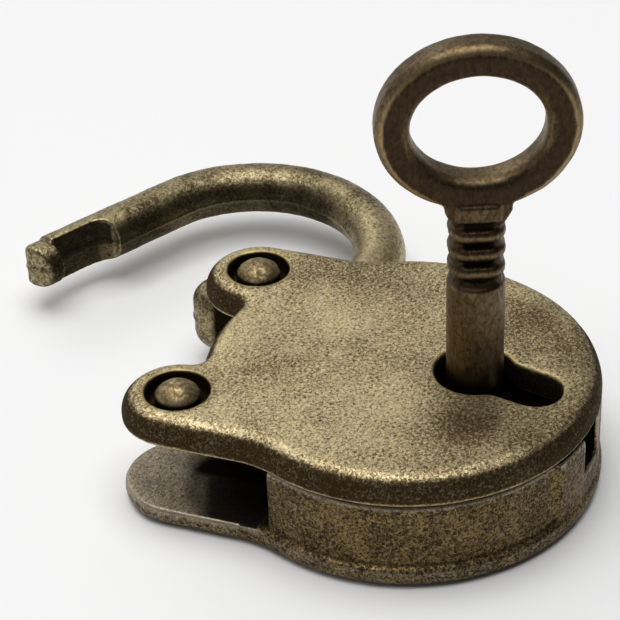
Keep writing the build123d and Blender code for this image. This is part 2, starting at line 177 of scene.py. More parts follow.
@dataclass(frozen=True)
class AntiqueBronze:
    """Bronze plating on a zinc casting: dark patina between the grains, rubbed bright on tops and edges.
    Painted shade is laid into its black, and painted highlights into its rubbed colour.
    """

    name: str
    light: str
    dark: str
    sheen_and_wear: str
    patina_and_shade: str
    grain_mm: float = 0.3
    grain_stretch: float = 1.0
    blotch_mm: float = 4.0
    light_share: float = 0.5
    cloud_share: float = 0.05
    patina_and_shade_share: float = 0.0
    grain_blur: float = 0.2
    sheen_and_wear_from_mm: float = 0.03
    sheen_and_wear_full_mm: float = 0.12
    ragged_mm: float = 0.03
    patina_and_shade_from: float = 0.35
    patina_and_shade_full: float = 0.85
    recess_from_mm: float = 0.05
    recess_full_mm: float = 0.2
    rough_light: float = 0.4
    rough_dark: float = 0.6
    bump_mm: float = 0.02
    bump_strength: float = 0.7

    def material(self) -> bpy.types.Material:
        """Builds the shader from the finish's values.

        Returns:
            The material.
        """
        material, add = new_material(self.name)
        place = add("ShaderNodeTexCoord", output="Object")
        shade = add("ShaderNodeAttribute", output="Fac", attribute_name=SHADE)
        relief = add("ShaderNodeAttribute", output="Fac", attribute_name=RELIEF)
        drawn = add("ShaderNodeMapping", {"Vector": place, "Scale": (1, 1, 1 / self.grain_stretch)})
        # Short crossing grains give the sandy sparkle of the tumbled plating
        grain = add(NOISE, {"Vector": drawn, "Scale": 1 / (self.grain_mm * MM), **GRAIN_NOISE})
        # Broad clouds let patches stay browner where the rubbing missed them
        cloud = add(NOISE, {"Vector": place, "Scale": 1 / (self.blotch_mm * MM), **CLOUD_NOISE})
        shift, ragged = (
            add(MAP_RANGE, {"Value": noise, **NOISE_SPAN, "To Min": -swing, "To Max": swing})
            for noise, swing in ((cloud, self.cloud_share), (grain, self.ragged_mm))
        )
        level = add(MATH, {0: grain, 1: shift}, operation="ADD")
        # Where the stored shade is high, more of the low grains keep their brown: patina where the rubbing
        # was light, and painted shade
        level = add(MATH, {0: shade, 1: -self.patina_and_shade_share, 2: level}, operation="MULTIPLY_ADD")
        # Rubbed edges break up along the grain instead of ending in a clean line
        raised = add(MATH, {0: relief, 1: ragged}, operation="ADD")
        half = 1 - self.light_share
        speck, sheen_and_wear, gloom, recess = (
            add(
                MAP_RANGE, {"Value": value, "From Min": none, "From Max": full},
                interpolation_type="SMOOTHSTEP",
            )
            for value, none, full in (
                (level, half - self.grain_blur, half + self.grain_blur),
                (raised, self.sheen_and_wear_from_mm, self.sheen_and_wear_full_mm),
                (shade, self.patina_and_shade_from, self.patina_and_shade_full),
                (relief, -self.recess_from_mm, -self.recess_full_mm),
            )
        )
        # The rubbing never reached the corners, which keep the black of the bath, and the stored shade lays
        # the same black on as painted shade
        sunk_and_shaded = add(MATH, {0: gloom, 1: recess}, operation="MAXIMUM")
        colour = linear(self.dark)
        # The rubbed colour is worn metal, and also painted highlights and reflections where the marks raise
        # the relief for them
        for share, brighter in ((speck, self.light), (sheen_and_wear, self.sheen_and_wear)):
            colour = add(
                "ShaderNodeMix", {"Factor": share, "A": colour, "B": linear(brighter)}, data_type="RGBA",
            )
        polish = add(MATH, {0: speck, 1: sheen_and_wear}, operation="MAXIMUM")
        roughness = add(
            MAP_RANGE, {"Value": polish, "To Min": self.rough_dark, "To Max": self.rough_light},
        )
        bump = add(
            "ShaderNodeBump",
            {"Height": speck, "Strength": self.bump_strength, "Distance": self.bump_mm * MM},
        )
        metal = add(
            "ShaderNodeBsdfPrincipled",
            {"Base Color": colour, "Metallic": 1.0, "Roughness": roughness, "Normal": bump},
        )
        # The black stands for the bath's black in the corners and for painted shade
        black = add("ShaderNodeBsdfDiffuse", {"Color": linear(self.patina_and_shade)})
        shader = add("ShaderNodeMixShader", {0: sunk_and_shaded, 1: metal, 2: black})
        add("ShaderNodeOutputMaterial", {"Surface": shader})
        return material


@dataclass(frozen=True)
class PlainMetal:
    """Bare working metal of the hidden pieces: an even grey with fine drawn streaks."""

    name: str
    light: str
    dark: str
    streak_mm: tuple[float, float, float]
    roughness: float
    bump_mm: float = 0.01
    bump_strength: float = 0.3

    def material(self) -> bpy.types.Material:
        """Builds the shader from the finish's values.

        Returns:
            The material.
        """
        material, add = new_material(self.name)
        place = add("ShaderNodeTexCoord", output="Object")
        scale = tuple(1 / (size * MM) for size in self.streak_mm)
        drawn = add("ShaderNodeMapping", {"Vector": place, "Scale": scale})
        # Streaks run with the drawing or the filing of the piece
        streak = add(NOISE, {"Vector": drawn, **STREAK_NOISE})
        colour = add(
            "ShaderNodeMix", {"Factor": streak, "A": linear(self.dark), "B": linear(self.light)},
            data_type="RGBA",
        )
        bump = add(
            "ShaderNodeBump",
            {"Height": streak, "Strength": self.bump_strength, "Distance": self.bump_mm * MM},
        )
        shader = add(
            "ShaderNodeBsdfPrincipled",
            {"Base Color": colour, "Metallic": 1.0, "Roughness": self.roughness, "Normal": bump},
        )
        add("ShaderNodeOutputMaterial", {"Surface": shader})
        return material


class Finish(Enum):
    """The finishes of the lock's pieces."""

    # Dark brown sides with a rough grain and greyish rubbed spots; the grey also paints the reflection on
    # the ears' inner faces
    CASE = AntiqueBronze(
        "antique bronze, case casting", light="#8C7852", dark="#362B1C", sheen_and_wear="#A49A86", patina_and_shade="#151310",
        grain_mm=0.22, blotch_mm=2.6, light_share=0.46, cloud_share=0.06, sheen_and_wear_from_mm=0.07,
        sheen_and_wear_full_mm=0.2, patina_and_shade_from=0.62, patina_and_shade_full=1.0,
    )
    # The most rubbed piece: pale sandy specks on brown, with a rim darkened by patina and painted shade, and
    # a bright lower edge
    PLATE = AntiqueBronze(
        "antique bronze, front plate casting",
        light="#D8C79C", dark="#5C4B31", sheen_and_wear="#CDBA86", patina_and_shade="#21190D", grain_mm=0.2, blotch_mm=6.0,
        light_share=0.53, cloud_share=0.07, patina_and_shade_share=0.45, grain_blur=0.22, sheen_and_wear_from_mm=0.07,
        sheen_and_wear_full_mm=0.18, patina_and_shade_from=0.14, patina_and_shade_full=0.66, rough_light=0.46, rough_dark=0.62,
    )
    # Smoother and browner than the plate around them
    RIVET = AntiqueBronze(
        "antique bronze, rivet heads", light="#A08D68", dark="#685840", sheen_and_wear="#B8A680", patina_and_shade="#1B1710",
        grain_mm=0.5, blotch_mm=1.6, bump_mm=0.01,
    )
    # Yellowish, with cloudy patches, and patina and painted shade on the inner side
    SHACKLE = AntiqueBronze(
        "antique brass, shackle casting", light="#B5A57E", dark="#453A28", sheen_and_wear="#C2B187", patina_and_shade="#1B150D",
        grain_mm=0.26, blotch_mm=2.4, light_share=0.48, cloud_share=0.12, grain_blur=0.28, sheen_and_wear_from_mm=0.08,
        sheen_and_wear_full_mm=0.2, patina_and_shade_from=0.1, rough_light=0.36, rough_dark=0.5,
    )
    # The darkest piece: almost even brown, smooth, with pale rubbed edges that are partly painted highlights
    KEY = AntiqueBronze(
        "dark bronze, key casting", light="#4E3F2D", dark="#392D21", sheen_and_wear="#A58F68", patina_and_shade="#100C08",
        grain_mm=0.32, grain_stretch=1.8, blotch_mm=2.4, grain_blur=0.3, sheen_and_wear_from_mm=0.06, sheen_and_wear_full_mm=0.4,
        ragged_mm=0.04, recess_from_mm=0.02, recess_full_mm=0.12, bump_mm=0.004, rough_dark=0.48,
    )
    # Dull grey, filed along the slide
    LATCH = PlainMetal(
        "bare cast zinc", light="#3F3D39", dark="#2A2926", streak_mm=(1.2, 0.3, 0.3), roughness=0.5,
    )
    # Darker grey with a soft gleam
    STEEL = PlainMetal(
        "blued steel wire and pins",
        light="#31302E", dark="#1F1E1D", streak_mm=(0.3, 0.3, 1.5), roughness=0.42,
    )


def placed(name: str, data: bpy.types.ID) -> bpy.types.Object:
    """Puts a new object in the scene.

    Args:
        name: Name of the object.
        data: Its mesh, light or camera.

    Returns:
        The object.
    """
    made = bpy.data.objects.new(name, data)
    bpy.context.scene.collection.objects.link(made)
    return made


def discard(helper: bpy.types.Object) -> None:
    """Removes a helper object with its mesh."""
    mesh = helper.data
    bpy.data.objects.remove(helper)
    bpy.data.meshes.remove(mesh)


def evaluated(maker: bpy.types.Object) -> bpy.types.Mesh:
    """Takes the mesh that an object's modifiers make, and removes the object with them.

    Args:
        maker: The object with its modifiers.

    Returns:
        The plain mesh.
    """
    graph = bpy.context.evaluated_depsgraph_get()
    mesh = bpy.data.meshes.new_from_object(
        maker.evaluated_get(graph), preserve_all_data_layers=True, depsgraph=graph,
    )
    discard(maker)
    return mesh


def merged_copy(nodes: list[bpy.types.Object]) -> bmesh.types.BMesh:
    """Copies CAD meshes into one working mesh in millimetres, with their loose corners joined.

    Args:
        nodes: CAD node objects.

    Returns:
        The working mesh.
    """
    work = bmesh.new()
    for node in nodes:
        work.from_mesh(node.data)
    bmesh.ops.scale(work, vec=Vector((1, 1, 1)) / MM, verts=work.verts)
    bmesh.ops.remove_doubles(work, verts=work.verts, dist=MM)
    return work


def drained(work: bmesh.types.BMesh, name: str) -> bpy.types.Mesh:
    """Turns a working mesh into a plain one and lets it go.

    Args:
        work: The working mesh.
        name: Name of the plain mesh.

    Returns:
        The plain mesh.
    """
    mesh = bpy.data.meshes.new(name)
    work.to_mesh(mesh)
    work.free()
    return mesh


def take_in(work: bmesh.types.BMesh, mesh: bpy.types.Mesh) -> None:
    """Adds a plain mesh to a working mesh and removes it."""
    work.from_mesh(mesh)
    bpy.data.meshes.remove(mesh)


def vertex_arrays(mesh: bpy.types.Mesh) -> tuple[np.ndarray, np.ndarray]:
    """Reads a mesh's points and their directions.

    Args:
        mesh: The mesh.

    Returns:
        Positions and normals, one row for each vertex.
    """
    found = []
    for source, name in ((mesh.vertices, "co"), (mesh.vertex_normals, "vector")):
        values = np.empty(len(mesh.vertices) * 3, np.float32)
        source.foreach_get(name, values)
        found.append(values.reshape(-1, 3).astype(float))
    return found[0], found[1]


def deepen(mesh: bpy.types.Mesh, layer: str, values: np.ndarray) -> None:
    """Raises a stored value where the given one is above nothing and higher.

    Args:
        mesh: The mesh with its stored values.
        layer: Name of the stored value.
        values: New value of each vertex.
    """
    data = mesh.attributes[layer].data
    stored = np.empty(len(values), np.float32)
    data.foreach_get("value", stored)
    raised = np.where(values > 0, np.maximum(stored, values), stored)
    data.foreach_set("value", raised.astype(np.float32))


def new_tree(name: str, inputs: dict[str, type]) -> tuple[bpy.types.NodeTree, Adder, Sockets]:
    """Starts a geometry tree that takes and gives a shape and has named inputs.

    Args:
        name: Name of the tree.
        inputs: Input names, each with the kind of its value.

    Returns:
        The tree, the function that adds its nodes and the sockets that bring its inputs.
    """
    tree = bpy.data.node_groups.new(name, "GeometryNodeTree")
    for way in ("INPUT", "OUTPUT"):
        tree.interface.new_socket("Geometry", in_out=way, socket_type="NodeSocketGeometry")
    for label, kind in inputs.items():
        tree.interface.new_socket(label, in_out="INPUT", socket_type=SOCKETS[kind])
    return tree, partial(add_node, tree), tree.nodes.new("NodeGroupInput").outputs


def end_tree(add: Adder, shape: bpy.types.NodeSocket, material: bpy.types.NodeSocket) -> None:
    """Ends a geometry tree in real faces of one material.

    Args:
        add: The function that adds the tree's nodes.
        shape: Socket of the finished shape.
        material: Socket of its material.
    """
    shape = add("GeometryNodeRealizeInstances", {"Geometry": shape})
    shape = add("GeometryNodeSetMaterial", {"Geometry": shape, "Material": material})
    add("NodeGroupOutput", {"Geometry": shape})


def add_tree(maker: bpy.types.Object, tree: bpy.types.NodeTree, values: dict[str, Any]) -> None:
    """Puts a geometry tree on an object and sets its inputs by their identifiers.

    Args:
        maker: The object, not evaluated with the tree yet.
        tree: The geometry tree.
        values: Input names and values.
    """
    modifier = maker.modifiers.new(tree.name, "NODES")
    modifier.node_group = tree
    for item in tree.interface.items_tree:
        if item.in_out == "INPUT" and item.name in values:
            modifier[item.identifier] = values[item.name]


def cast_surface_tree() -> bpy.types.NodeTree:
    """Builds the tree that gives a smooth shape the skin of a casting.

    It softens the edges, lays waves and grain on the surface and raises the seam of the mould. It stores how
    far each point stands above its surroundings, and how much of its view the shapes around it block.

    Returns:
        The tree.
    """
    tree, add, given = new_tree("CastSurface", {
        "Soften": int, "Wave Height": float, "Wave Size": float, "Grain Height": float, "Grain Size": float,
        "Seam Height": float, "Seam Level": float, "Seam Width": float, "Relief Reach": int,
        "Around": bpy.types.Object, "Shade Reach": float, "Material": bpy.types.Material,
    })
    place = add("GeometryNodeInputPosition")
    normal = add("GeometryNodeInputNormal")
    soft, mean = (
        add(
            "GeometryNodeBlurAttribute", {"Value": place, "Iterations": given[reach]},
            data_type="FLOAT_VECTOR",
        )
        for reach in ("Soften", "Relief Reach")
    )
    shape = add("GeometryNodeSetPosition", {"Geometry": given["Geometry"], "Position": soft})
    heights = []
    for layer in ("Wave", "Grain"):
        scale = add(MATH, {0: 1.0, 1: given[f"{layer} Size"]}, operation="DIVIDE")
        noise = add(NOISE, {"Vector": place, "Scale": scale, **CAST_NOISE})
        # Noise from 0 to 1 becomes a swing from -1 to 1
        swing = add(MATH, {0: noise, 1: 2.0, 2: -1.0}, operation="MULTIPLY_ADD")
        heights.append((swing, given[f"{layer} Height"]))
    # The seam is a bell around its level
    level = add("ShaderNodeSeparateXYZ", {"Vector": place}, output="Z")
    away = add(MATH, {0: level, 1: given["Seam Level"]}, operation="SUBTRACT")
    ratio = add(MATH, {0: away, 1: given["Seam Width"]}, operation="DIVIDE")
    square = add(MATH, {0: ratio, 1: ratio}, operation="MULTIPLY")
    minus = add(MATH, {0: square, 1: -1.0}, operation="MULTIPLY")
    bell = add(MATH, {0: minus}, operation="EXPONENT")
    heights.append((bell, given["Seam Height"]))
    total = 0.0
    for pattern, height in heights:
        total = add(MATH, {0: pattern, 1: height, 2: total}, operation="MULTIPLY_ADD")
    lift = add(VECTOR_MATH, {0: normal, "Scale": total}, operation="SCALE")
    shape = add("GeometryNodeSetPosition", {"Geometry": shape, "Offset": lift})
    rise = add(VECTOR_MATH, {0: place, 1: mean}, operation="SUBTRACT")
    relief = add(VECTOR_MATH, {0: rise, 1: normal}, operation="DOT_PRODUCT")
    around = add("GeometryNodeObjectInfo", {"Object": given["Around"]}, output="Geometry")
    clear = add(VECTOR_MATH, {0: normal, "Scale": RAY_LIFT_MM}, operation="SCALE")
    origin = add(VECTOR_MATH, {0: place, 1: clear}, operation="ADD")
    # The blocked share later darkens the colour as painted shade, together with the patina that stays in
    # hollows
    blocked = 0.0
    for lean in RAY_LEANS:
        ray = add(VECTOR_MATH, {0: normal, 1: lean}, operation="ADD")
        hit = add("GeometryNodeRaycast", {
            "Target Geometry": around, "Source Position": origin, "Ray Direction": ray,
            "Ray Length": given["Shade Reach"],
        })
        blocked = add(MATH, {0: hit, 1: 1 / len(RAY_LEANS), 2: blocked}, operation="MULTIPLY_ADD")
    shade = add(
        "GeometryNodeBlurAttribute", {"Value": blocked, "Iterations": SHADE_BLUR}, data_type="FLOAT",
    )
    for name, value in ((RELIEF, relief), (SHADE, shade)):
        shape = add(
            "GeometryNodeStoreNamedAttribute", {"Geometry": shape, "Name": name, "Value": value},
            data_type="FLOAT", domain="POINT",
        )
    shape = add("GeometryNodeSetShadeSmooth", {"Geometry": shape})
    end_tree(add, shape, given["Material"])
    return tree


@dataclass
class Casting:
    """One cast piece: a CAD shape that gets the soft edges, waves, grain and mould seam of a casting."""

    piece: str
    nodes: tuple[str, ...]
    body: str
    slot: str
    finish: Finish
    voxel_mm: float
    soften: int = 2
    wave_height_mm: float = 0.03
    wave_size_mm: float = 3.0
    grain_height_mm: float = 0.012
    grain_size_mm: float = 0.5
    seam_height_mm: float = 0.0
    seam_level_mm: float = 0.0
    seam_width_mm: float = 0.2
    relief_reach: int = 24
    shade_reach_mm: float = 5.0
    side_lean: float = 0.85
    side_fade: float = 0.3
    # Bands of patina and painted shade, and bands of wear, along the upright sides: heights in millimetres
    # with their amounts
    patina_and_shade_bands: tuple[tuple[float, float], ...] = ()
    rubbed: tuple[tuple[float, float], ...] = ()

    @cached_property
    def material(self) -> bpy.types.Material:
        """Makes the finish's material when it is first asked for."""
        return self.finish.value.material()

    def upright(self, normals: np.ndarray) -> np.ndarray:
        """Tells from the points' directions how far each is part of an upright side, from 0 to 1."""
        return np.clip((self.side_lean - np.abs(normals[:, 2])) / self.side_fade, 0, 1)

    def banded(self, places: np.ndarray) -> np.ndarray:
        """Tells how far each place shows the bands of patina, painted shade and wear, which is everywhere in
        full.
        """
        return np.ones(len(places))

    def source(self, frame: Frame) -> bmesh.types.BMesh:
        """Gives the closed shape in millimetres that the skin is laid on, from the loaded frame."""
        return merged_copy([frame["nodes"][name] for name in self.nodes])

    def neighbours(self, frame: Frame) -> bmesh.types.BMesh:
        """Gives the shape in millimetres that shades the piece: all CAD nodes of its body."""
        names = frame["record"]["behaviour"]["bodies"][self.body]
        return merged_copy([frame["nodes"][name] for name in names])

    def mark(self, mesh: bpy.types.Mesh) -> None:
        """Darkens the upright sides where the casting has bands of patina and painted shade, and brightens
        them where it has bands of wear.

        Args:
            mesh: The skinned mesh in millimetres.
        """
        places, normals = vertex_arrays(mesh)
        upright = self.upright(normals) * self.banded(places)
        for layer, bands in ((SHADE, self.patina_and_shade_bands), (RELIEF, self.rubbed)):
            if bands:
                levels, amounts = zip(*bands)
                deepen(mesh, layer, upright * np.interp(places[:, 2], levels, amounts))

    def build(self, frame: Frame, surface: bpy.types.NodeTree) -> None:
        """Makes the piece, hangs it on its body and hides the CAD nodes it stands for.

        Args:
            frame: The loaded frame.
            surface: The tree that makes the cast skin.
        """
        # Both shapes come before the modifiers, because making one evaluates the scene
        around = placed(f"{self.piece}_around", drained(self.neighbours(frame), f"{self.piece}_around"))
        maker = placed(f"{self.piece}_maker", drained(self.source(frame), f"{self.piece}_maker"))
        remesh = maker.modifiers.new("Skin", "REMESH")
        remesh.mode = "VOXEL"
        remesh.voxel_size = self.voxel_mm
        add_tree(maker, surface, {
            "Soften": self.soften, "Wave Height": self.wave_height_mm, "Wave Size": self.wave_size_mm,
            "Grain Height": self.grain_height_mm, "Grain Size": self.grain_size_mm,
            "Seam Height": self.seam_height_mm, "Seam Level": self.seam_level_mm,
            "Seam Width": self.seam_width_mm, "Relief Reach": self.relief_reach, "Around": around,
            "Shade Reach": self.shade_reach_mm, "Material": self.material,
        })
        mesh = evaluated(maker)
        discard(around)
        self.mark(mesh)
        mesh.name = self.piece
        mesh.transform(Matrix.Scale(MM, 4))
        made = placed(self.piece, mesh)
        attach(made, self.body)
        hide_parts(*self.nodes)
        LOG.info("%s: %d faces on %s", self.piece, len(mesh.polygons), self.body)


@dataclass
class CaseCasting(Casting):
    """The case, whose hollow, window and mouth are darkened with painted shade."""

    floor_mm: float = 1.4
    hollow_radius_mm: float = 12.3
    hollow_end_mm: float = 8.0
    window_mm: tuple[float, float] = (-2.15, 0.95)
    window_low_mm: float = 3.2
    rim_radius_mm: float = 13.8
    mouth_way: tuple[float, float] = (0.371, -0.929)
    mouth_span_mm: tuple[float, float] = (-20.5, -14.4)
    mouth_end_mm: float = 7.2
    mouth_top_mm: float = 1.75
    mouth_lean: float = 0.8
    mouth_shade: float = 0.95
    ear_sheen_mm: float = 0.145
    flush_middle_deg: float = -92.5
    flush_half_deg: tuple[float, float] = (14.0, 20.0)

    def banded(self, places: np.ndarray) -> np.ndarray:
        """Leaves the bands out beside the window, where the wall comes out level with the plate."""
        turn = np.degrees(np.arctan2(places[:, 1], places[:, 0]))
        return np.interp(np.abs(turn - self.flush_middle_deg), self.flush_half_deg, (0, 1))

    def mark(self, mesh: bpy.types.Mesh) -> None:
        """Darkens the hollow, the window's sides and the mouth with painted shade, and lightens the ears'
        inner faces with a painted reflection.

        Args:
            mesh: The skinned mesh in millimetres.
        """
        super().mark(mesh)
        places, normals = vertex_arrays(mesh)
        reach = np.linalg.norm(places[:, :2], axis=1)
        above = places[:, 2] > self.floor_mm
        hollow = above & (reach < self.hollow_radius_mm) & (places[:, 1] < self.hollow_end_mm)
        window = (places[:, 0] > self.window_mm[0]) & (places[:, 0] < self.window_mm[1]) & (places[:, 1] < 0)
        window &= (places[:, 2] > self.window_low_mm) & (reach < self.rim_radius_mm)
        # Painted shade: the hollow and the window's sides go fully dark
        deepen(mesh, SHADE, (hollow | window).astype(float))
        # Painted shade on the mouth's floor, deepening inwards
        inwards = places[:, :2] @ np.array(self.mouth_way)
        gloom = np.interp(inwards, self.mouth_span_mm, (0, self.mouth_shade))
        mouth = above & (places[:, 2] < self.mouth_top_mm) & (places[:, 1] > self.mouth_end_mm)
        mouth &= normals[:, 2] > self.mouth_lean
        deepen(mesh, SHADE, np.where(mouth, gloom, 0))
        # Painted reflection: the ears' inner faces are lightened towards the rubbed colour
        deepen(mesh, RELIEF, np.where(mouth, self.ear_sheen_mm, 0))


@dataclass
class PlateCasting(Casting):
    """The front plate, with painted shade towards its foot and patina left in a few patches."""

    foot_span_mm: tuple[float, float] = (-13.0, 1.0)
    foot_shade: float = 0.26
    # Each patch has its place, its reach and how dark it stayed
    patches: tuple[tuple[float, float, float, float], ...] = (
        (-5.6, -6.4, 3.4, 0.36), (-6.6, -10.4, 3.2, 0.3), (3.4, -11.6, 3.2, 0.32), (8.2, -7.6, 3.4, 0.3),
        (10.2, 6.4, 4.0, 0.24), (-2.6, 9.0, 3.2, 0.2),
    )

    def mark(self, mesh: bpy.types.Mesh) -> None:
        """Darkens the plate with painted shade towards its foot, and with patina in its patches.

        Args:
            mesh: The skinned mesh in millimetres.
        """
        super().mark(mesh)
        places, _ = vertex_arrays(mesh)
        # Painted shade, darker towards the foot
        deepen(mesh, SHADE, np.interp(places[:, 1], self.foot_span_mm, (self.foot_shade, 0)))
        for x, y, reach, dark in self.patches:
            away = np.hypot(places[:, 0] - x, places[:, 1] - y) / reach
            deepen(mesh, SHADE, dark * np.exp(-away ** 2))


@dataclass
class ShackleCasting(Casting):
    """The shackle, with patina and painted shade in its notch and on the inner side of its bend, and painted
    shadow on its heel.
    """

    leg_start_mm: tuple[float, float, float] = (16.602, 30.674, 4.3)
    leg_way: tuple[float, float, float] = (-0.866025, 0.5, 0.0)
    inner_way: tuple[float, float, float] = (-0.5, -0.866025, 0.0)
    arch_radius_mm: float = 10.45
    notch_span_mm: tuple[float, float] = (0.75, 6.05)
    notch_bend_mm: float = 2.3
    notch_floor_mm: float = 0.1
    notch_fade_mm: float = 0.15
    notch_shade: float = 0.75
    notch_low_mm: tuple[float, float] = (3.6, 4.1)
    notch_low_share: float = 0.65
    rod_radius_mm: float = 2.05
    inner_shade: float = 0.7
    pivot_mm: tuple[float, float] = (8.13, 14.4)
    heel_reach_mm: float = 6.4
    heel_fade_mm: float = 1.6
    heel_dark_mm: tuple[float, float] = (17.3, 18.1)
    heel_shade: float = 0.8
    seam_reach_mm: tuple[float, float] = (0.06, 0.22)
    seam_rub_mm: float = 0.16
    bright_turn_deg: tuple[float, float] = (-48.0, -26.0)
    bright_lift_mm: float = 0.14

    def mark(self, mesh: bpy.types.Mesh) -> None:
        """Darkens the notch and the inner side of the bend with patina and painted shade and the heel with
        painted shadow, lightens the bend beside the pivot, and rubs the mould seam.

        Args:
            mesh: The skinned mesh in millimetres.
        """
        super().mark(mesh)
        places, normals = vertex_arrays(mesh)
        leg, inner = np.array(self.leg_way), np.array(self.inner_way)
        away = places - np.array(self.leg_start_mm)
        along, side = away @ leg, away @ inner
        ends = np.minimum(along - self.notch_span_mm[0], self.notch_span_mm[1] - along)
        depth = self.rod_radius_mm - np.linalg.norm(away - along[:, None] * leg, axis=1)
        # Past its rounded end the notch reaches the leg's skin, so only the level of its floor counts there
        bend = np.where(along > self.notch_bend_mm, ends, depth - self.notch_floor_mm)
        notch = np.minimum(np.minimum(ends, bend), side - self.notch_floor_mm)
        notch = np.clip(notch / self.notch_fade_mm, 0, 1) * (depth > -self.notch_fade_mm)
        # Painted shade is strongest on the notch's upper part and weaker below its middle
        notch *= np.interp(places[:, 2], self.notch_low_mm, (self.notch_low_share, 1))
        deepen(mesh, SHADE, notch * self.notch_shade)
        # The middle line of the bend runs along the leg and stops at the centre of the arch
        middle = np.clip(along, 0, None)[:, None] * leg + self.arch_radius_mm * inner
        inwards = (middle - away) * (1, 1, 0)
        inwards /= np.linalg.norm(inwards, axis=1)[:, None]
        # The bend beside the pivot is lighter: it gets less of the inner side's dark, and its colour is
        # raised towards the rubbed one
        spoke = away - self.arch_radius_mm * inner
        turn = np.degrees(np.arctan2(spoke[:, 1], spoke[:, 0]))
        bright = np.where(along < 0, np.interp(turn, self.bright_turn_deg, (1, 0)), 0)
        # Patina and painted shade on the side that faces into the bend
        inner_dark = np.clip((normals * inwards).sum(axis=1), 0, 1) * self.inner_shade
        deepen(mesh, SHADE, inner_dark * (1 - bright))
        deepen(mesh, RELIEF, bright * self.bright_lift_mm)
        upright = self.upright(normals)
        reach = np.linalg.norm(places[:, :2] - np.array(self.pivot_mm), axis=1)
        heel = np.clip((self.heel_reach_mm - reach) / self.heel_fade_mm, 0, 1)
        # Painted shadow on the heel's side that sits in the gap by the case
        gloom = np.interp(places[:, 1], self.heel_dark_mm, (self.heel_shade, 0))
        deepen(mesh, SHADE, heel * upright * gloom)
        off = np.abs(places[:, 2] - self.seam_level_mm)
        seam = np.interp(off, self.seam_reach_mm, (self.seam_rub_mm, 0))
        deepen(mesh, RELIEF, np.where((heel > 0) | (along > self.notch_span_mm[0]), 0, upright * seam))


